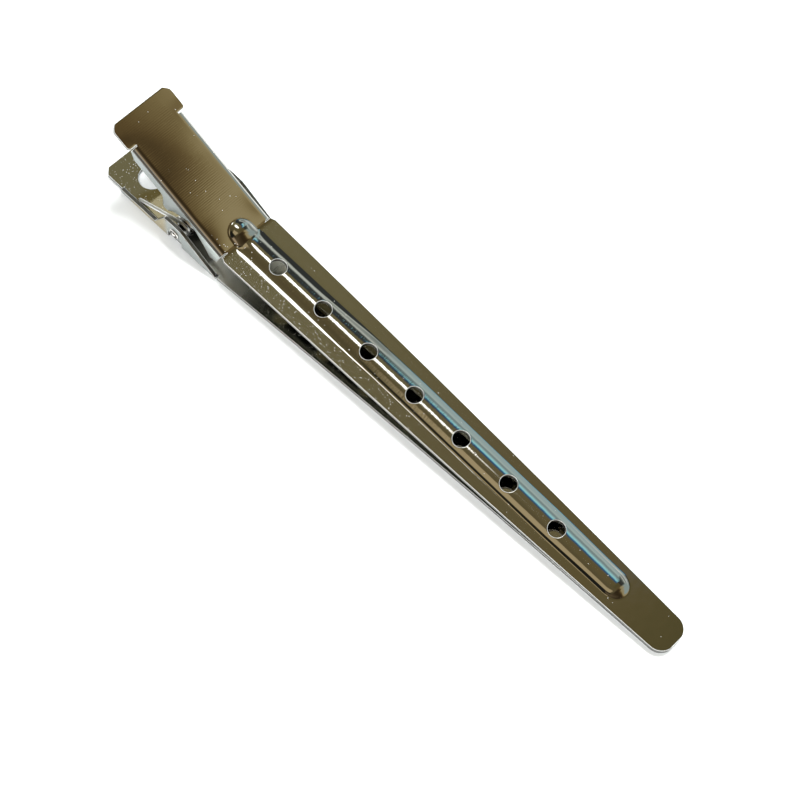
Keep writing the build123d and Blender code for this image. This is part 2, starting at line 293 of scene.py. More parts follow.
def upper_height(u, v):
    """Height over the plain sheet: the ridge times rib and gusset, less a parabola across the lever.

    wide is 1 where the rib is low with a wide foot, steep is 1 at its two round ends.
    """
    wide = smooth((23 - u) / 14) * smooth((u + 0.4) / 1.2)
    half = RIB_HALF + RIB_WIDE * wide - 0.07 * np.clip(u / 47, 0, 1) - 0.20 * smooth((u - 49) / 11)
    half = half + (DOME_HALF - half) * smooth((0.8 - u) / 1.2)
    segment = (RIB_ENDS[0] + DOME_HALF, RIB_ENDS[1] - RIB_HALF + 0.27)
    beyond = np.maximum(segment[0] - u, 0) + np.maximum(u - segment[1], 0)
    d = np.hypot(beyond, v - RIB_SWAY * bell((u - 26) / 14)) / half
    shoulder = 0.80 - 0.306 * wide
    flank = ridge(d, shoulder, (RIB_CREST + 0.125 * wide) * (shoulder * half) ** 2)
    steep = smooth((0.4 - u) / 1.6) + smooth((u - segment[1] + 0.6) / 1.2)
    rise = (1 - steep) * flank + steep * ridge(d * 1.04, 0.74, 0.5)
    rib = rise * (RIB_HEIGHT * (1 - 0.24 * wide) + GUSSET * bell((u + 0.6) / 1.5))
    return rib - CROWN * (v / 4) ** 2 * smooth((0.2 - u) / 5.5) * (1 - 0.8 * smooth((-u - 12) / 7))


print("rib height (mm) at 5, 30 and 55 mm:", upper_height(np.array([5, 30, 55]), np.zeros(3)).round(2))

# %% [markdown]
# ## The blank's outline
# Before it is folded, the stamping is a flat blank. The blade's sides are gently bowed and its tip
# has round corners; the grip end is a T with clipped corners; between them, each side has a wing
# that is folded down as a flange. The flange's depth changes along the lever: a lobe behind the pin,
# an arch over it, and a point near the bend.

# %% Widths and depths along the blank
FOLD = 0.6
LEVER_HALF = 3.95
FLAT_HALF = LEVER_HALF - FOLD
HEAD_FRONT = LEVER_LENGTH - 3.5
SLIT_REAR = 0.14
SLIT_FRONT = 0.32
BLADE_HALVES = (4.25, 3.5, 2.45)
HEAD_HALF = 4.5
REAR_CORNER, FRONT_CORNER = 0.85, 0.45


def bowed_half(at, start, end, halves):
    """Half width of a blade: a parabola through three half widths, then a quarter circle at the tip."""
    straight = end - TIP_ROUND
    t = np.clip(at - start, 0, straight - start) / (straight - start)
    first, middle, last = halves
    bowed = first + t * (-3 * first + 4 * middle - last) + t * t * (2 * first - 4 * middle + 2 * last)
    turned = np.clip(at - straight, 0, TIP_ROUND)
    return bowed - TIP_ROUND + np.sqrt(np.maximum(TIP_ROUND**2 - turned**2, 0))


def blade_half(u):
    """Half width of the upper blade: bowed sides, drawn in by a quarter millimetre beside the bend."""
    return bowed_half(u, 0, BLADE_LENGTH, BLADE_HALVES) - 0.25 * smooth((0.5 - u) / 0.7)


def head_half(length):
    """Half width of the T-shaped grip end: level, with cut rear corners and small round front ones."""
    rear = np.clip(length - (LEVER_LENGTH - REAR_CORNER), 0, REAR_CORNER) / REAR_CORNER
    front = np.clip(HEAD_FRONT + FRONT_CORNER - length, 0, FRONT_CORNER) / FRONT_CORNER
    return HEAD_HALF - 0.75 * rear**1.4 - 0.3 * (1 - np.sqrt(1 - front**2))


def flange_depth(length):
    """Depth of the flange at a length behind the bend: straight runs, and one bowed side of the arch."""
    at = [0.3, 1.1, 5.99, 8.2, 8.45, 8.75, 9.2, 9.5, 10.35, 10.8, 15.6, 16.8]
    depth = [2.9, 3.7, 1.15, 3.5, 4.2, 4.72, 4.75, 4.6, 2.6, 2.4, 2.4, 1.2]
    t = np.clip((length - at[1]) / (at[2] - at[1]), 0, 1)
    return np.interp(length, at, depth) - 4 * 0.28 * t * (1 - t)


print("blade half width (mm) at 1, 35 and 67 mm:", blade_half(np.array([1, 35, 67])).round(2))

# %% [markdown]
# ## Round holes in a square grid
# A grid of squares has no round holes. Around each hole, a square block of cells is pulled: the
# middle cells are left out, the ring round them is moved out to the circle, and the rings after
# it return step by step to the square. The seven holes are seven such blocks in one grid.

# %% Pull blocks of cells round a hole
HOLE_PITCH = 7.6
HOLES = 5.3 + HOLE_PITCH * np.arange(7)
HOLE_RADIUS = 1.07
BLOCK = (1.5, 1.5)


def pull(along, across, block, radius, spread=0.0):
    """Offsets from a hole's middle with the hole's shape pulled into them, and the points in the hole.

    At half the block m is 0.5 and a point goes to the circle, or to the slot that is longer by spread
    each way; at the block's edge it stays where it was; t blends the two in between.
    """
    a, b = along / block[0], across / block[1]
    m = np.maximum(np.maximum(np.abs(a), np.abs(b)), 1e-9)
    t = np.clip(2 * m - 1, 0, 1)
    level = 0.45 * m if spread else 1e-9 + 0 * m
    over = np.sign(b) * np.maximum(np.abs(b) - level, 0)
    far = np.maximum(np.hypot(a, over), 1e-9)
    ring_across = radius * over / far + spread * np.clip(b / level, -1, 1)
    inside = (m < 1) & (m > 0.499)
    new_along = np.where(inside, (1 - t) * radius * a / far + t * along / m, along)
    new_across = np.where(inside, (1 - t) * ring_across + t * across / m, across)
    return new_along, new_across, m < 0.501


def from_middle(v):
    """Number of each column of cells counted from the middle line: 0.5, 1.5 and so on to both sides."""
    cells = v.shape[1] - 1
    return np.abs(np.arange(cells) - (cells - 1) / 2)


def cells_inside(marked):
    """Cells whose four corners are all marked."""
    return cell_corners(marked).all(-1)


print(f"{len(HOLES)} holes of {2 * HOLE_RADIUS:.2f} mm, {HOLES[0]:.1f} to {HOLES[-1]:.1f} mm past the bend")

# %% [markdown]
# ## Folding the blank
# Across the lever, the columns run over the flat top, round a fold of 0.6 mm and down the flange.
# Across the blade and the grip end the same columns stay flat and spread out to the edge. Between
# the rows where a folded part meets a flat one, the outer cells are left out: those are the slits
# that let a press fold one part and leave the next one flat.

# %% Rows and columns of the upper sheet
CORE_HALF = 2.4
CORE_SHARE = 0.815
CORE_CELLS, PLATE_CELLS = 19, 4
QUARTER = math.pi / 2


def upper_rows():
    """Row positions along the blank, closer together at the holes, the bend, the lobes and the tip."""
    tip = round_tip(BLADE_LENGTH)
    behind = steps((-LEVER_LENGTH, -HEAD_FRONT, 14), (-HEAD_FRONT, -HEAD_FRONT + SLIT_REAR, 1))
    lever = steps((-HEAD_FRONT + SLIT_REAR, -11.2, 30), (-11.2, -8.0, 28), (-8.0, -SLIT_FRONT, 62))
    bend = steps((-SLIT_FRONT, -SLIT_FRONT + 0.1, 1), (-SLIT_FRONT + 0.1, HOLES[0] - BLOCK[0], 36))
    holes = []
    for hole in HOLES:
        front = hole + BLOCK[0]
        holes += [(hole - BLOCK[0], front, 24), (front, hole + HOLE_PITCH - BLOCK[0], 12)]
    blade = steps(*holes[:-1], (front, 58.8, 18), (58.8, 62.4, 28), (62.4, BLADE_LENGTH - TIP_ROUND, 12))
    return np.concatenate([behind[:-1], lever[:-1], bend[:-1], blade[:-1], tip])


def upper_columns(u, width):
    """Column positions at rows u: the holes' core, the plate, the fold, and the wing up to width."""
    on_blade = u > -SLIT_FRONT + 0.05
    squeeze = np.where(on_blade, np.minimum(1, CORE_SHARE * width / CORE_HALF), 1)
    core_end = CORE_HALF * squeeze
    plate_end = np.where(on_blade, core_end + (width - core_end) * 0.5, FLAT_HALF)
    core = squeeze[:, None] * steps((0, BLOCK[1], 12), (BLOCK[1], CORE_HALF, CORE_CELLS - 12))[None, :]
    flat_row = on_blade | (u < -HEAD_FRONT + 0.05)
    fold_end = np.where(flat_row, plate_end + (width - plate_end) * 0.5, FLAT_HALF + FOLD * QUARTER)
    return columns(core, (plate_end, fold_end, width), (PLATE_CELLS, 8, 7), 0.07)


print(f"{len(upper_rows())} rows, {CORE_CELLS + PLATE_CELLS} flat columns each side of the middle")


# %% The folded upper sheet
def fold_over(v, walled, flat_half, radius):
    """Length past the flat part, place across, and depth: a quarter arc round the fold, then straight on."""
    past = np.where(walled[:, None], np.maximum(np.abs(v) - flat_half, 0), 0)
    turn = np.minimum(past / radius, QUARTER)
    level = np.minimum(np.abs(v), np.where(walled[:, None], flat_half, 99))
    across = np.sign(v) * (level + radius * np.sin(turn))
    return past, across, radius * (1 - np.cos(turn)) + np.maximum(past - radius * QUARTER, 0)


def make_upper_sheet():
    """The folded upper jaw as one grid: columns past the flat top turn down round the fold."""
    rows = upper_rows()
    behind = rows < -HEAD_FRONT + 0.05
    lever = ~behind & (rows < -SLIT_FRONT + 0.05)
    developed = FLAT_HALF + FOLD * QUARTER + flange_depth(-rows) - FOLD
    width = np.where(behind, head_half(-rows), np.where(lever, developed, blade_half(rows)))
    v = upper_columns(rows, width)
    u = np.repeat(rows[:, None], v.shape[1], 1)
    flat = np.stack([u, v], -1)
    nearest = HOLES[np.argmin(np.abs(u[..., None] - HOLES), -1)]
    along, v, open_spots = pull(u - nearest, v, BLOCK, HOLE_RADIUS)
    u = nearest + along
    past, across, down = fold_over(v, lever, FLAT_HALF, FOLD)
    x, z, normal_x, normal_z = upper_line(u)
    lift = upper_height(u, np.where(past > 0, np.sign(v) * FLAT_HALF, v)) - down
    points = np.stack([x + normal_x * lift, across, z + normal_z * lift], -1)
    keep = ~cells_inside(open_spots)
    slits = np.isclose(rows[:-1], -HEAD_FRONT) | np.isclose(rows[:-1], -SLIT_FRONT)
    keep[np.ix_(slits, from_middle(v) > CORE_CELLS + PLATE_CELLS)] = False
    return sheet_object("upper_jaw_sheet", points, flat, keep)


upper_sheet = thicken(make_upper_sheet())
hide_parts("upper_jaw")
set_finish(upper_sheet, "plated_sheet")
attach(upper_sheet, "upper_body")

# %% [markdown]
# ## The hidden ears
# Inside the flanges, a shoulder leads in to two ears with the pin's eye. Each ear is drawn round the
# pin: the eye is a circle, and the outside is the string that would lie tight round the ear's round
# end and its shoulder. The distance of such a string from the pin, in each direction, is the
# smallest of its support distances divided by the cosine between the two directions.

# %% Ears round the pin
PIN_ALONG = -PIN_X * math.cos(LEVER_TURN) - (BEND_HEIGHT - PIN_Z) * math.sin(LEVER_TURN)
PIN_DEPTH = -PIN_X * math.sin(LEVER_TURN) + (BEND_HEIGHT - PIN_Z) * math.cos(LEVER_TURN)
EAR_RADIUS = 1.25
EYE_RADIUS = 0.6
EAR_OUT, SHOULDER_TOP = 2.62, 2.95
EAR_SHEET = SHEET - 0.02
SHOULDER = (0.8, 2.0)
HANDS = {1: "left", -1: "right"}


def lever_point(along, across, depth):
    """A point by its distance up the lever, across it, and below its top face."""
    x = -along * math.cos(LEVER_TURN) - depth * math.sin(LEVER_TURN)
    z = BEND_HEIGHT + along * math.sin(LEVER_TURN) - depth * math.cos(LEVER_TURN)
    return np.stack(np.broadcast_arrays(x, across, z), -1)


def ear_reach(angle):
    """Distance of the ear's outline from the pin: least support distance over the cosine between."""
    facing = np.linspace(0, math.tau, 721)
    support = np.full(facing.shape, EAR_RADIUS)
    for along in SHOULDER:
        support = np.maximum(support, along * np.cos(facing) + SHOULDER_TOP * np.sin(facing))
    cosine = np.cos(angle[:, None] - facing[None, :])
    return np.where(cosine > 0.05, support / np.maximum(cosine, 0.05), 99).min(1)


def make_ear(side):
    """One ear as a ring of cells from the eye to its outline, facing outwards on its side."""
    angle = np.linspace(0, math.tau, 97)
    share = np.linspace(0, 1, 9)
    reach = EYE_RADIUS + (ear_reach(angle) - EYE_RADIUS)[:, None] * share[None, :]
    along = PIN_ALONG + reach * np.cos(angle)[:, None]
    depth = PIN_DEPTH - reach * np.sin(angle)[:, None]
    points = lever_point(along, side * EAR_OUT, depth)
    if side > 0:
        points = points[::-1]
    flat = np.stack([-along, depth], -1)
    return sheet_object(f"upper_ear_{HANDS[side]}", points, flat)


def make_shoulder(side):
    """Small shelf from the flange's inner face to the top of an ear."""
    across = side * np.linspace(LEVER_HALF - SHEET - 0.02, EAR_OUT - SHEET + 0.03, 9)
    along = PIN_ALONG + np.linspace(*SHOULDER, 9)
    grid_along, grid_across = np.meshgrid(along, across, indexing="ij")
    points = lever_point(grid_along, grid_across, PIN_DEPTH - SHOULDER_TOP)
    if side < 0:
        points = points[::-1]
    flat = np.stack([-grid_along, grid_across], -1)
    return sheet_object(f"upper_shoulder_{HANDS[side]}", points, flat)


for side in (1, -1):
    for piece in (make_ear(side), make_shoulder(side)):
        thicken(piece, EAR_SHEET, edge=0.03)
        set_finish(piece, "plated_sheet")
        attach(piece, "upper_body")

# %% [markdown]
# ## The lower jaw
# The lower stamping is flat and straight and lies on the table. Behind the pin it has a grip end
# with a slot-shaped hole and a low rim; at the pin its sides stand up as ears; in front it is a
# plain blade, wider than the upper one by the walls and a little narrower from its middle on. Its
# computed face is the underside and the outside of the walls, and the thickness goes inwards.

# %% Outline and walls of the lower jaw
LOWER_HALF = 5.2
LOWER_FOLD = 0.45
CLEAR = 0.012
LOWER_FLAT = LOWER_HALF - LOWER_FOLD
RIM_REAR = REAR_X + 3.6
WALL_END = -0.3
LOWER_SLIT = 0.12
RELIEF = (-8.6, -6.2)
EAR_REAR = (-10.9, -9.15)
LOWER_HALVES = (5.05, 3.38, 2.33)
GRIP_HOLE_X = -15.9
GRIP_HOLE_RADIUS, GRIP_HOLE_SPREAD = 1.7, 1.1
GRIP_BLOCK = (2 * (GRIP_HOLE_X - RIM_REAR), 3.4)


def wall_height(x):
    """Height of the side wall: low rim, ear round the pin, then a straight fall to the blade."""
    at = [RIM_REAR, *EAR_REAR, -6.3, WALL_END]
    height = [0.95, 0.95, 3.9, 3.9, SHEET + 0.02]
    soft = 0.10 * bell((x + 9.2) / 0.5) + 0.05 * bell((x + 6.3) / 0.5)
    return np.interp(x, at, height) - soft


def lower_head_half(x):
    """Half width of the lower grip end, with rear corners clipped at 45 degrees."""
    return 4.8 - np.clip(REAR_X + 0.8 - x, 0, 0.8)


print("wall height (mm) at -12, -8 and -3 mm:", wall_height(np.array([-12, -8, -3])).round(2))

# %% [markdown]
# ## Folding the lower blank
# The same kind of grid as before, with the columns past the flat floor turned upwards. A window in
# the fold under the pin is left open: the press needs it to draw the ears up cleanly.

# %% Rows and columns of the lower sheet
LOWER_CORE, LOWER_CORE_SHARE = 4.3, 0.897
LOWER_FLAT_CELLS = 24


def lower_rows():
    """Row positions along the lower jaw, closer together at the slits, the ears and the tip."""
    block = GRIP_BLOCK[0]
    stops = [(REAR_X, 14), (GRIP_HOLE_X - block, 7), (RIM_REAR - LOWER_SLIT, 1), (RIM_REAR, 16),
             (GRIP_HOLE_X + block / 2, 8), (GRIP_HOLE_X + block, 12), (EAR_REAR[0], 20), (EAR_REAR[1], 6),
             (RELIEF[0], 20), (RELIEF[1], 34), (WALL_END, 1), (WALL_END + 0.1, 90), (TIP_X - TIP_ROUND, 0)]
    runs = [(start, end, count) for (start, count), (end, _) in zip(stops, stops[1:])]
    return np.concatenate([steps(*runs)[:-1], round_tip(TIP_X)])


def lower_columns(rows, walled, width):
    """Column positions over the lower blank: floor with the grip hole's block, plate, fold and wall."""
    squeeze = np.where(walled, 1, np.minimum(1, LOWER_CORE_SHARE * width / LOWER_CORE))
    block = GRIP_BLOCK[1]
    plain = steps((0, block / 2, 10), (block / 2, block, 8), (block, LOWER_CORE, 4))
    core = squeeze[:, None] * plain[None, :]
    start = core[:, -1]
    ends = [np.where(walled, fixed, start + (width - start) * share)
            for fixed, share in ((LOWER_FLAT, 0.3), (LOWER_FLAT + LOWER_FOLD * QUARTER, 0.6))]
    return columns(core, (*ends, width), (2, 6, 8), 0.05)


print(f"{len(lower_rows())} rows, {LOWER_FLAT_CELLS} flat columns each side of the middle")


# %% The folded lower sheet
def make_lower_sheet():
    """The folded lower jaw as one grid: outer columns turn up round the fold and climb the wall."""
    rows = lower_rows()
    head = rows < RIM_REAR - LOWER_SLIT / 2
    walled = (rows > RIM_REAR - LOWER_SLIT / 2) & (rows < WALL_END + 0.05)
    developed = LOWER_FLAT + LOWER_FOLD * QUARTER + wall_height(rows) - LOWER_FOLD
    blade = bowed_half(rows, WALL_END, TIP_X, LOWER_HALVES)
    width = np.where(head, lower_head_half(rows), np.where(walled, developed, blade))
    v = lower_columns(rows, walled, width)
    x = np.repeat(rows[:, None], v.shape[1], 1)
    flat = np.stack([x, v], -1)
    along, v, open_spots = pull(x - GRIP_HOLE_X, v, GRIP_BLOCK, GRIP_HOLE_RADIUS, GRIP_HOLE_SPREAD)
    x = GRIP_HOLE_X + along
    _, across, up = fold_over(v, walled, LOWER_FLAT, LOWER_FOLD)
    points = np.stack([x, across, CLEAR + up], -1)
    order = from_middle(v)
    outer = order > LOWER_FLAT_CELLS
    window = outer & (order < LOWER_FLAT_CELLS + 8)
    keep = ~cells_inside(open_spots)
    slits = np.isclose(rows[:-1], RIM_REAR - LOWER_SLIT) | np.isclose(rows[:-1], WALL_END)
    keep[np.ix_(slits, outer)] = False
    relief = (rows[:-1] > RELIEF[0] - 0.01) & (rows[:-1] < RELIEF[1] - 0.01)
    keep[np.ix_(relief, window)] = False
    return sheet_object("lower_jaw_sheet", points[:, ::-1], flat[:, ::-1], keep[:, ::-1])


lower_sheet = thicken(make_lower_sheet(), edge=0.048)
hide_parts("lower_jaw")
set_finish(lower_sheet, "plated_sheet")
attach(lower_sheet, "lower_body")

# %% [markdown]
# ## The pin
# A plain pin whose two ends are spun over to a collar with a small ball in its middle. It is a
# surface of revolution: a side profile, radius against place along the pin, carried round the axis.
# At both ends the radius goes to nothing, so that the poles are closed.

# %% Pin by revolution
PIN_SIDES = 48


def make_pin():
    """Pin: profile (place along Y, radius) turned round the axis at (PIN_X, PIN_Z)."""
    nose = np.linspace(0, QUARTER, 9)[::-1]
    ball = np.stack([5.38 + 0.15 * np.sin(nose), 0.30 * np.cos(nose)], 1)
    groove = np.array([[5.36, 0.34], [5.35, 0.40], [5.36, 0.46]])
    collar = np.stack([5.30 + 0.10 * np.sin(nose), 0.52 + 0.21 * np.cos(nose)], 1)
    shank = np.array([[5.23, 0.74], [5.22, 0.55], [4.0, 0.55], [2.0, 0.55], [0.0, 0.55]])
    half = np.concatenate([ball, groove, collar, shank])
    profile = np.concatenate([half, half[-2::-1] * np.array([-1, 1])])
    angle = np.linspace(0, math.tau, PIN_SIDES + 1)
    along, radius = profile[:, :1], profile[:, 1:]
    x, z = PIN_X + radius * np.cos(angle), PIN_Z + radius * np.sin(angle)
    points = np.stack(np.broadcast_arrays(x, along, z), -1)
    flat = np.stack(np.broadcast_arrays(radius, angle[None, :]), -1)
    return sheet_object("hinge_pin_turned", points, flat)


def weld(piece):
    """Joins the first and last column of a turned piece, and the points of its poles."""
    mesh = bmesh.new()
    mesh.from_mesh(piece.data)
    bmesh.ops.remove_doubles(mesh, verts=mesh.verts, dist=1e-6)
    bmesh.ops.recalc_face_normals(mesh, faces=mesh.faces)
    mesh.to_mesh(piece.data)
    mesh.free()
    return piece


pin = weld(make_pin())
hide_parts("hinge_pin")
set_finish(pin, "plated_pin")
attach(pin, "lower_body")

# %% [markdown]
# ## The spring
# One wire makes the whole spring: up from the lower lever, round the pin in a coil, back along the
# upper lever, across under it, and the same again mirrored. Each half is a tube along one path: a
# straight leg, a helix whose angle and place across grow together, a straight run and a quarter
# turn to the middle.

# %% Wire path and tube
WIRE_RADIUS, WIRE_AIR, WIRE_BEND = 0.25, 0.03, 0.75
COIL = 1.1
LEG_OUT, COIL_OUT, COIL_IN = 4.40, 4.02, 2.94
LEG_FOOT = (PIN_X - 7.1, SHEET + WIRE_RADIUS + WIRE_AIR)
LOOP_ALONG = PIN_ALONG + 6.4


def tangent_angle(end, side):
    """Angle round the pin where a straight wire to end leaves the coil, over (1) or under (-1) it."""
    dx, dz = end[0] - PIN_X, end[1] - PIN_Z
    return math.atan2(dz, dx) - side * math.acos(COIL / math.hypot(dx, dz))


def wire_path():
    """Middle line of half a spring from its free end to the loop's middle, and a direction square to it."""
    top = lever_point(LOOP_ALONG, 0.0, SHEET + WIRE_RADIUS + WIRE_AIR)
    start = tangent_angle(LEG_FOOT, 1)
    finish = tangent_angle((top[0], top[2]), -1)
    finish = finish - math.tau * math.ceil((finish - start) / math.tau + 1)
    share = np.linspace(0, 1, 100)
    angle = start + (finish - start) * share
    outward = np.stack([np.cos(angle), 0 * angle, np.sin(angle)], 1)
    coil = np.array([PIN_X, 0, PIN_Z]) + COIL * outward
    coil[:, 1] = COIL_OUT + (COIL_IN - COIL_OUT) * share
    leg_share = np.linspace(0, 1, 12)[:-1, None]
    leg = np.array([LEG_FOOT[0], LEG_OUT, LEG_FOOT[1]]) * (1 - leg_share) + coil[0] * leg_share
    corner = np.array([top[0], COIL_IN, top[2]])
    direction = (corner - coil[-1]) / np.linalg.norm(corner - coil[-1])
    run_share = np.linspace(0, 1, 12)[1:, None]
    run = coil[-1] * (1 - run_share) + (corner - WIRE_BEND * direction) * run_share
    bend = np.linspace(0, QUARTER, 10)[1:, None]
    inwards = np.array([0, -WIRE_BEND, 0]) * (1 - np.cos(bend))
    round_corner = corner + direction * WIRE_BEND * (np.sin(bend) - 1) + inwards
    across = np.linspace(1, 0, 8)[1:, None]
    bar = np.array([top[0], 0, top[2]]) + np.array([0, COIL_IN - WIRE_BEND, 0]) * across
    turns = abs(finish - start) / math.tau
    print(f"coil of {turns:.2f} turns, pitch {(COIL_OUT - COIL_IN) / turns:.2f} mm")
    path = np.concatenate([leg, coil, run, round_corner, bar])
    beside = np.concatenate([np.repeat(outward[:1], len(leg), 0), outward,
                             np.repeat(outward[-1:], len(path) - len(leg) - len(coil), 0)])
    return path, beside


def tube(name, path, beside, radius, sides=16):
    """Tube along a path: circles spanned by the direction beside the path and the one square to both."""
    ahead = np.gradient(path, axis=0)
    ahead /= np.linalg.norm(ahead, axis=1)[:, None]
    other = np.cross(ahead, beside)
    other /= np.linalg.norm(other, axis=1)[:, None]
    across = np.cross(other, ahead)
    cap = np.linspace(0, QUARTER, 5)[:-1]
    radii = np.concatenate([radius * np.sin(cap), np.full(len(path), radius)])
    spots = np.concatenate([path[0] - ahead[0] * radius * 0.6 * np.cos(cap)[:, None], path])
    across = np.concatenate([np.repeat(across[:1], len(cap), 0), across])
    other = np.concatenate([np.repeat(other[:1], len(cap), 0), other])
    turn = np.linspace(0, math.tau, sides + 1)
    ring = across[:, None] * np.cos(turn)[None, :, None] + other[:, None] * np.sin(turn)[None, :, None]
    points = spots[:, None, :] + ring * radii[:, None, None]
    length = np.concatenate([[0], np.cumsum(np.linalg.norm(np.diff(spots, axis=0), axis=1))])
    flat = np.stack(np.broadcast_arrays(length[:, None], turn[None, :] * radius), -1)
    return weld(sheet_object(name, points, flat))


# %% Two mirrored halves
half_path, half_beside = wire_path()
for side, hand in HANDS.items():
    half = tube(f"spring_{hand}", half_path * np.array([1, side, 1]), half_beside, WIRE_RADIUS)
    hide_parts("torsion_spring")
    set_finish(half, "spring_wire")
    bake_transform(half)

# %% [markdown]
# ## Metal by its own lengths
# Nickel on stamped steel is a mirror with small faults, and each fault has its place on the sheet.
# So the materials read the flat lengths from the UV map: how far along the clip a spot is, and how
# far across. Helpers come first. They join nodes to sums, soft-edged ranges, noise and bumps.

# %% Node helpers
def new_material(name, colour, roughness, metallic=1.0):
    """A metal with one Principled shader; its constants sit on the shader's own sockets."""
    material = bpy.data.materials.new(name)
    material.use_nodes = True
    tree = material.node_tree
    shader = tree.nodes["Principled BSDF"]
    shader.inputs["Base Color"].default_value = (*colour, 1)
    shader.inputs["Metallic"].default_value = metallic
    shader.inputs["Roughness"].default_value = roughness
    return material, tree, shader


def maths(tree, operation, *values):
    """A math node with numbers or other sockets as its inputs; returns its output."""
    node = tree.nodes.new("ShaderNodeMath")
    node.operation = operation
    for socket, value in zip(node.inputs, values):
        if isinstance(value, (int, float)):
            socket.default_value = value
        else:
            tree.links.new(value, socket)
    return node.outputs[0]


def times(tree, first, second, plus=0.0):
    """first times second, plus a third."""
    return maths(tree, "MULTIPLY_ADD", first, second, plus)


def greatest(tree, first, *others):
    """The greatest of several sockets."""
    for other in others:
        first = maths(tree, "MAXIMUM", first, other)
    return first


def ranged(tree, value, start, end, kind="SMOOTHSTEP"):
    """0 to 1 while value goes from start to end, with level ends unless kind is LINEAR."""
    node = tree.nodes.new("ShaderNodeMapRange")
    node.interpolation_type = kind
    node.inputs["From Min"].default_value = start
    node.inputs["From Max"].default_value = end
    tree.links.new(value, node.inputs["Value"])
    return node.outputs[0]


def above(tree, value, low, soft):
    """1 where value is over low, fading to 0 over a distance of soft."""
    return ranged(tree, value, low - soft, low)


def below(tree, value, high, soft):
    """1 where value is under high, fading to 0 over a distance of soft."""
    return ranged(tree, value, high + soft, high)


def between(tree, value, low, high, soft):
    """1 where value lies from low to high, fading to 0 over a distance of soft on both sides."""
    return times(tree, above(tree, value, low, soft), below(tree, value, high, soft))


def area(tree, along, across, spans, soft):
    """1 inside a rectangle of the flat sheet: (along from, along to, across from, across to)."""
    rows = between(tree, along, spans[0], spans[1], soft)
    return times(tree, rows, between(tree, across, spans[2], spans[3], 0.3 * soft))


def split(tree, vector):
    """The three numbers of a vector or colour."""
    node = tree.nodes.new("ShaderNodeSeparateXYZ")
    tree.links.new(vector, node.inputs[0])
    return tuple(node.outputs)


def flat_lengths(tree):
    """The UV map in mm: as a vector, and its lengths along and across."""
    uv = tree.nodes.new("ShaderNodeUVMap")
    uv.uv_map = "flat_mm"
    return uv.outputs[0], *split(tree, uv.outputs[0])[:2]


def noise(tree, vector, scale, detail=2.0, stretch=(1, 1, 1)):
    """Noise over a vector stretched by a Mapping node."""
    mapping = tree.nodes.new("ShaderNodeMapping")
    mapping.inputs["Scale"].default_value = stretch
    texture = tree.nodes.new("ShaderNodeTexNoise")
    texture.inputs["Scale"].default_value = scale
    texture.inputs["Detail"].default_value = detail
    tree.links.new(vector, mapping.inputs["Vector"])
    tree.links.new(mapping.outputs[0], texture.inputs["Vector"])
    return texture.outputs["Fac"]


def bump(tree, height, distance, after=None):
    """A Bump node whose height 0 to 1 stands for distance metres; bumps are chained by their normals."""
    node = tree.nodes.new("ShaderNodeBump")
    node.inputs["Distance"].default_value = distance
    tree.links.new(height, node.inputs["Height"])
    if after is not None:
        tree.links.new(after, node.inputs["Normal"])
    return node.outputs[0]


# %% Colour helpers
def ramp(tree, value, low, high, stops):
    """Colour ramp over value from low to high; each stop is a value and a colour."""
    node = tree.nodes.new("ShaderNodeValToRGB")
    band = node.color_ramp
    while len(band.elements) < len(stops):
        band.elements.new(0.5)
    for element, (at, *colour) in zip(band.elements, stops):
        element.position = (at - low) / (high - low)
        element.color = (*colour, 1)
    tree.links.new(ranged(tree, value, low, high, "LINEAR"), node.inputs["Fac"])
    return node.outputs["Color"]


def mixed(tree, factor, first, second):
    """Colour mix; first and second are colours or sockets."""
    node = tree.nodes.new("ShaderNodeMix")
    node.data_type = "RGBA"
    tree.links.new(factor, node.inputs["Factor"])
    for socket, value in ((node.inputs["A"], first), (node.inputs["B"], second)):
        if isinstance(value, tuple):
            socket.default_value = (*value, 1)
        else:
            tree.links.new(value, socket)
    return node.outputs["Result"]


# %% [markdown]
# ## The plated sheet
# The real sheet is bright on its flat parts, where the rollers polished it. Across the finger lever
# it has fine ridges, on the rib the punch has brushed it, and the blade has slow waves. The folded
# walls are drawn and look matt grey, with a dark line of painted shade where the fold begins. Dust
# and pits show as pale specks. Light and shade are painted in too: the lower jaw's brushed scuff by
# the bend is painted pale as light falling in, a dark patch of painted shade lies on the lower floor
# between the ears, the upper walls by the bend get a painted highlight, and the lower floor under
# the lever gets a tan painted reflection. Heights are chained bumps of a few thousandths of a
# millimetre or less; colours are layers, each laid over the last one where its own share is 1.

# %% Plated sheet
NICKEL, GLOSS, SATIN = (0.53, 0.52, 0.48), 0.06, 0.34
# The scuff colour is pale as painted light, and the shaded colour is painted shade.
SCUFF_AND_PAINTED_LIGHT, SHADED, DRAWN = (0.90, 0.90, 0.86), (0.12, 0.12, 0.11), (0.34, 0.375, 0.37)
# The fold's dark line is painted shade; the dust colour is real.
FOLD_SHADE, DUST = (0.05, 0.042, 0.03), (0.97, 0.95, 0.90)
RIDGE_PITCH = 0.26
NOWHERE = (198, 199, 0, 1)


def ridges(tree, flat, along, across, at):
    """Height of the lever's ridges: a sine along the sheet on noise drawn out across it, in patches."""
    wave = maths(tree, "SINE", times(tree, along, math.tau / RIDGE_PITCH))
    wave = times(tree, wave, 0.25, noise(tree, flat, 5.2, 1.0, (1, 0.12, 1)))
    patchy = times(tree, noise(tree, flat, 1.4, 1.0), 0.8, 0.3)
    return times(tree, wave, times(tree, area(tree, along, across, at, 1.5), patchy))


def specks(tree, flat, along, across, dusty_at):
    """1 in a round spot amid those Voronoi cells whose random number is high; dusty_at raises it."""
    cells = tree.nodes.new("ShaderNodeTexVoronoi")
    cells.inputs["Scale"].default_value = 4.0
    tree.links.new(flat, cells.inputs["Vector"])
    chance = split(tree, cells.outputs["Color"])[0]
    dust = times(tree, area(tree, along, across, dusty_at, 5), 0.55, chance)
    return times(tree, below(tree, cells.outputs["Distance"], 0.1, 0.1), above(tree, dust, 0.985, 0.015))


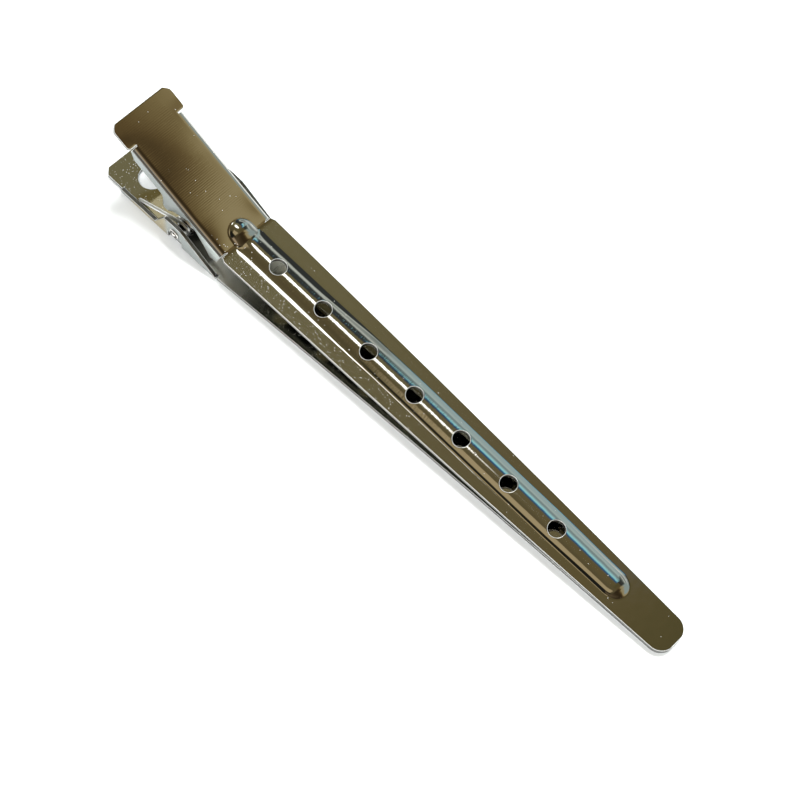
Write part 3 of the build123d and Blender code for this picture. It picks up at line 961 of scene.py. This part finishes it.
def plated_sheet(name, ridged_at, scuff_and_light_at, shaded_at, brushed_at, dusty_at, wavy_from,
                 folded_at, walls_from, fold_shade_at, painted_light):
    """Nickel-plated sheet. Each place is in mm of the flat sheet: from and to along it, then across.

    walls_from and fold_shade_at are distances from the middle line, and hold where the sheet is folded;
    fold_shade_at is a line of painted shade along the fold, scuff_and_light_at a brushed scuff painted
    pale as light, and shaded_at a patch of painted shade. painted_light is a place along, its softness,
    whether it holds on the walls only, and its colour, which is painted light.
    """
    material, tree, shader = new_material(name, NICKEL, GLOSS)
    flat, along, across = flat_lengths(tree)
    side = maths(tree, "ABSOLUTE", across)
    # Scuff by the lower bend: real brushing and satin, with its pale colour painted as light falling in.
    scuff_and_light = between(tree, along, *scuff_and_light_at, 9.0)
    # A patch of painted shade: a dark colour, and satin as well.
    shaded = between(tree, along, *shaded_at, 0.8)
    folded = between(tree, along, *folded_at, 0.04)
    walls = times(tree, above(tree, side, walls_from, 0.12), folded)
    # A dark line of painted shade along the fold.
    line = times(tree, between(tree, side, *fold_shade_at, 0.06), folded)
    pit = specks(tree, flat, along, across, dusty_at)
    # Painted light: a pale highlight on the upper walls by the bend, and a tan painted reflection on the
    # lower floor under the lever.
    painted_light_at, painted_light_soft, painted_light_on_walls, painted_light_colour = painted_light
    painted_light_share = times(tree, between(tree, along, *painted_light_at, painted_light_soft), walls if painted_light_on_walls else 1.0)

    brushed = greatest(tree, area(tree, along, across, brushed_at, 4.0), scuff_and_light)
    brush = times(tree, noise(tree, flat, 5.0, 2.0, (1, 0.22, 1)), brushed)
    waves = times(tree, noise(tree, flat, 0.55, 1.0), above(tree, along, wavy_from, 2))
    normal = bump(tree, ridges(tree, flat, along, across, ridged_at), 0.9e-6)
    for height, metres in ((brush, 11e-6), (waves, 6e-6), (pit, 14e-6)):
        normal = bump(tree, height, metres, normal)
    tree.links.new(normal, shader.inputs["Normal"])

    colour = NICKEL
    for share, layer in ((scuff_and_light, SCUFF_AND_PAINTED_LIGHT), (shaded, SHADED), (walls, DRAWN), (painted_light_share, painted_light_colour),
                         (line, FOLD_SHADE), (pit, DUST)):
        colour = mixed(tree, share, colour, layer)
    tree.links.new(colour, shader.inputs["Base Color"])
    satin = greatest(tree, walls, shaded, scuff_and_light)
    tree.links.new(times(tree, satin, SATIN, GLOSS), shader.inputs["Roughness"])
    matt = greatest(tree, pit, times(tree, walls, 0.6))
    tree.links.new(maths(tree, "SUBTRACT", 1.0, matt), shader.inputs["Metallic"])
    print(f"{name}: {len(tree.nodes)} nodes")
    return material


upper_finish = plated_sheet(
    "plated_sheet_upper", ridged_at=(-20.5, -4.5, -3.2, 2.4), scuff_and_light_at=NOWHERE[:2], shaded_at=NOWHERE[:2],
    brushed_at=(4.5, 36, -0.5, 0.5), dusty_at=(2, 26, -9, -2.3), wavy_from=1.5,
    folded_at=(-HEAD_FRONT + SLIT_REAR, -SLIT_FRONT), walls_from=4.48, fold_shade_at=(3.93, 4.42),
    # A painted highlight on the walls by the bend.
    painted_light=((-2.0, 1.0), 4.0, True, (0.80, 0.88, 0.86)))
lower_finish = plated_sheet(
    # By the bend, a scuff painted pale as light; between the ears, a patch of painted shade.
    "plated_sheet_lower", ridged_at=NOWHERE, scuff_and_light_at=(-1.5, 0.0), shaded_at=(-9.0, -2.5),
    brushed_at=NOWHERE, dusty_at=(-30, -9, -9, 9), wavy_from=NOWHERE[0],
    folded_at=(RIM_REAR, WALL_END), walls_from=5.42, fold_shade_at=(5.28, 5.36),
    # A tan painted reflection on the floor under the lever.
    painted_light=((-14.5, -9.5), 1.2, False, (0.42, 0.37, 0.24)))

# %% [markdown]
# ## Pin, wire and edges
# The pin's ends have a ring pressed in, painted dark as shade. The spring's wire is drawn and not
# plated bright. Cut faces are rough and dark; their rounded edges get a near-white, part-matt finish
# that the suns light, a painted highlight that shows as a thin pale line. The ears are painted dark
# as shade inside the hinge. These metals need no place on the sheet, only an even fine grain.

# %% Pin, wire, ears and edges
def add_grain(tree, shader, scale, height):
    """An even fine grain in Object coordinates, as a bump of height metres."""
    coordinates = tree.nodes.new("ShaderNodeTexCoord")
    grain = noise(tree, coordinates.outputs["Object"], scale, 3.0)
    tree.links.new(bump(tree, grain, height), shader.inputs["Normal"])


def pin_metal():
    """Bright pin with a dark ring pressed into each end, by the radius kept in the flat map."""
    material, tree, shader = new_material("plated_pin", (0.72, 0.70, 0.66), 0.16)
    # The dark ring is painted shade in the pressed groove at each end.
    groove = between(tree, flat_lengths(tree)[1], 0.33, 0.60, 0.04)
    colour = mixed(tree, groove, (0.80, 0.78, 0.74), (0.06, 0.055, 0.045))
    tree.links.new(colour, shader.inputs["Base Color"])
    add_grain(tree, shader, 2500, 8e-6)
    return material


def plain_metal(name, colour, roughness, grain_scale, grain_height, metallic=1.0):
    """Metal with an even fine grain; less metallic where it scatters light."""
    material, tree, shader = new_material(name, colour, roughness, metallic)
    add_grain(tree, shader, grain_scale, grain_height)
    return material


pin_finish = pin_metal()
wire_finish = plain_metal("spring_wire", (0.90, 0.90, 0.88), 0.34, 3000, 6e-6)
# The ears and shoulders are painted dark: painted shade for the dark inside of the hinge.
ear_shade_finish = plain_metal("painted_shade_ears", (0.11, 0.11, 0.10), 0.45, 2500, 8e-6)
cut_finish = plain_metal("cut_edges", (0.20, 0.20, 0.19), 0.38, 1800, 30e-6)
# Painted highlight: a near-white, part-matt finish on the rounded edges, which the suns light as a pale
# line.
edge_highlight_finish = plain_metal("painted_edge_highlights", (0.90, 0.92, 0.92), 0.30, 1800, 50e-6, 0.6)


def finishes(piece):
    """A piece's materials in the order that thicken numbers them: face, cut edge, edge line."""
    if "ear" in piece.name or "shoulder" in piece.name:
        return [ear_shade_finish] * 3
    if piece["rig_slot"] == "plated_sheet":
        return [lower_finish if piece.name.startswith("lower") else upper_finish, cut_finish, edge_highlight_finish]
    return [pin_finish if piece["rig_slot"] == "plated_pin" else wire_finish]


for piece in bpy.data.objects:
    if piece.get("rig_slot"):
        for finish in finishes(piece):
            piece.data.materials.append(finish)
        print(f"{piece.name}: {[finish.name for finish in piece.data.materials]}")

# %% [markdown]
# ## Floor and suns
# The clip lies on white paper. The floor is one flat grid, pale and without gloss. Three suns light
# it: two high ones, a little in front of the clip and a little beyond it, give soft shadows, and a
# very wide one stands for the bright room. The metal doesn't mirror them: what it mirrors is the world.

# %% Floor
FLOOR_HALF, FLOOR_DROP, FLOOR_LINES = 3, 0.00002, 9


def make_floor():
    """Plain white floor: a level square of 6 m, a fiftieth of a millimetre under the clip."""
    reach = np.linspace(-FLOOR_HALF, FLOOR_HALF, FLOOR_LINES)
    x, y = np.meshgrid(reach, reach, indexing="ij")
    mesh = bpy.data.meshes.new("floor")
    cells = cell_corners(np.arange(x.size).reshape(x.shape)).reshape(-1, 4)
    mesh.from_pydata(np.stack([x, y, 0 * x - FLOOR_DROP], -1).reshape(-1, 3).tolist(), [], cells.tolist())
    floor = add_object("floor", mesh)
    material, _, shader = new_material("white_floor", (0.84, 0.87, 0.885), 0.9, metallic=0.0)
    shader.inputs["Specular IOR Level"].default_value = 0.0
    mesh.materials.append(material)
    print(f"floor of {2 * FLOOR_HALF} m, {len(cells)} cells")


make_floor()


# %% Suns
def facing(direction):
    """Matrix of a lamp that stands a metre from the clip in a direction and shines at it."""
    back = direction / np.linalg.norm(direction)
    side = np.cross(np.array([0, 1.0, 0]), back)
    side /= np.linalg.norm(side)
    return placed(side, np.cross(back, side), back, back)


def sun(name, direction, strength, angle):
    """Sun that the metal doesn't mirror; the wider it is, the softer its shadow."""
    data = bpy.data.lights.new(name, "SUN")
    data.energy = strength
    data.angle = math.radians(angle)
    light = add_object(name, data)
    light.matrix_world = facing(np.array(direction, float))
    light.visible_glossy = False
    print(f"{name}: strength {strength}, {angle} degrees wide")


sun("side_light", (0.1, -0.35, 0.93), 1.7, 12)
sun("top_light", (-0.1, 0.34, 0.94), 2.9, 14)
sun("ceiling_fill", (0.1, -0.1, 1.0), 0.8, 160)

# %% [markdown]
# ## The room in the mirror
# A bright clip is drawn by what it mirrors: a warm dim ceiling, a bluish window beyond the clip, and
# two white lamps. Each is a soft band on the world, placed by two numbers of a direction: x, and the
# roll round the clip's length, which is 0 overhead, positive beyond the clip and negative in front.
# The lever slopes, so it mirrors another part of the room than the blade, and has bands of its own.

# %% Bands of the room
CEILING = [(-0.42, 0.26, 0.235, 0.13), (-0.25, 0.235, 0.205, 0.105), (-0.13, 0.195, 0.16, 0.08),
           (-0.05, 0.185, 0.145, 0.063), (0, 0.135, 0.115, 0.047), (0.2, 0.16, 0.115, 0.05),
           (0.4, 0.32, 0.245, 0.118)]
FRONT = [(-84, 0.85, 0.88, 0.88), (-74, 0.03, 0.03, 0.03), (-26, 0.015, 0.015, 0.01),
         (-21, 0.12, 0.1, 0.05), (-4, 0.16, 0.125, 0.06), (8, 0.17, 0.14, 0.07), (16, 0.19, 0.16, 0.08)]
WINDOW = [(-7, 0.22, 0.19, 0.13), (-3.5, 0.05, 0.11, 0.2), (-0.5, 0.07, 0.22, 0.48), (2.5, 0.46, 1.1, 1.22),
          (6.5, 0.5, 0.82, 0.88), (11, 0.3, 0.4, 0.42), (14.5, 0.34, 0.44, 0.45), (17, 0.6, 0.75, 0.74),
          (25, 0.5, 0.66, 0.7), (45, 0.5, 0.66, 0.68)]
GREY_WINDOW = [(-7, 0.12, 0.105, 0.07), (-3.5, 0.05, 0.05, 0.045), (8, 0.07, 0.08, 0.075),
               (13, 0.3, 0.33, 0.31), (16.5, 0.85, 0.9, 0.85), (20, 0.45, 0.5, 0.47),
               (26, 0.3, 0.34, 0.33), (45, 0.55, 0.6, 0.6)]
LEVER_BANDS = [(-80, 0.5, 0.4, 0.27), (-52, 0.56, 0.43, 0.29), (-40, 0.15, 0.11, 0.06),
               (0, 0.05, 0.033, 0.015), (12, 0.06, 0.04, 0.018), (17, 0.1, 0.065, 0.027),
               (20.5, 0.18, 0.12, 0.048), (23, 0.31, 0.235, 0.105), (26, 0.47, 0.38, 0.2),
               (34, 0.5, 0.42, 0.25), (44, 0.42, 0.52, 0.52)]
LAMPS = ((-0.27, 0.145, 13.3, 4.6), (-0.8, 0.12, 34.0, 9.0))
LAMP_WHITE, PAPER = (3.6, 3.6, 3.5), (0.93, 0.94, 0.95)


def sloped(tree, value, slope, level, low, high):
    """slope times value plus level, kept from low to high."""
    sloping = times(tree, value, slope, level)
    return maths(tree, "MINIMUM", maths(tree, "MAXIMUM", sloping, low), high)


def blade_room(tree, x, roll):
    """What the blade mirrors: the front, the ceiling, and from a sloping edge on the window."""
    card = times(tree, between(tree, roll, -19, -5, 2), between(tree, x, -0.15, 0.1, 0.07))
    front = mixed(tree, card, ramp(tree, roll, -90, 30, FRONT), (0.60, 0.48, 0.28))
    colour = mixed(tree, above(tree, roll, 10, 8), front, ramp(tree, x, -0.45, 0.45, CEILING))
    edge = sloped(tree, x, -100.0, 23.0, 27.5, 34.5)
    edge = times(tree, above(tree, x, -0.02, 0.025), 9.0, edge)
    past = maths(tree, "SUBTRACT", roll, edge)
    window = mixed(tree, between(tree, x, -0.205, -0.045, 0.035),
                   ramp(tree, past, -10, 50, GREY_WINDOW), ramp(tree, past, -10, 50, WINDOW))
    colour = mixed(tree, above(tree, past, -5, 3), colour, window)
    gap = times(tree, below(tree, x, -0.22, 0.04), between(tree, roll, 30, 44, 4))
    return mixed(tree, gap, colour, (0.05, 0.055, 0.055))


def lever_room(tree, x, roll):
    """What the lever mirrors, and 1 in the directions that it mirrors; its bands shift along x."""
    shift = sloped(tree, x, 260.0, -92.3, -1.6, 6.0)
    shift = times(tree, below(tree, x, 0.322, 0.02), 3.0, shift)
    colour = ramp(tree, maths(tree, "ADD", roll, shift), -90, 60, LEVER_BANDS)
    low = times(tree, above(tree, x, 0.1, 0.08), below(tree, roll, -38, 10))
    return colour, greatest(tree, above(tree, x, 0.27, 0.08), low)


def lamp_spot(tree, x, roll, middle_x, half_x, middle_roll, half_roll):
    """1 inside an ellipse: the root of the sum of both offsets squared, each over its half width."""
    off_roll = maths(tree, "DIVIDE", maths(tree, "SUBTRACT", roll, middle_roll), half_roll)
    off_x = maths(tree, "DIVIDE", maths(tree, "SUBTRACT", x, middle_x), half_x)
    squares = maths(tree, "ADD", maths(tree, "POWER", off_roll, 2.0), maths(tree, "POWER", off_x, 2.0))
    return below(tree, maths(tree, "SQRT", squares), 0.8, 0.25)


# %% World
def surroundings():
    """World colour by direction: the room for everything but the camera, which sees plain paper."""
    world = bpy.data.worlds.new("studio")
    bpy.context.scene.world = world
    world.use_nodes = True
    tree = world.node_tree
    x, y, z = split(tree, tree.nodes.new("ShaderNodeTexCoord").outputs["Generated"])
    roll = times(tree, maths(tree, "ARCTAN2", y, z), 180 / math.pi)
    lever_colour, on_lever = lever_room(tree, x, roll)
    colour = mixed(tree, on_lever, blade_room(tree, x, roll), lever_colour)
    colour = mixed(tree, above(tree, roll, 76, 6), colour, (0.75, 0.80, 0.80))
    for lamp in LAMPS:
        colour = mixed(tree, lamp_spot(tree, x, roll, *lamp), colour, LAMP_WHITE)
    ray = tree.nodes.new("ShaderNodeLightPath")
    colour = mixed(tree, ray.outputs["Is Camera Ray"], colour, PAPER)
    tree.links.new(colour, tree.nodes["Background"].inputs["Color"])
    print(f"world: {len(tree.nodes)} nodes")


surroundings()
bpy.context.scene.view_settings.view_transform = "Standard"
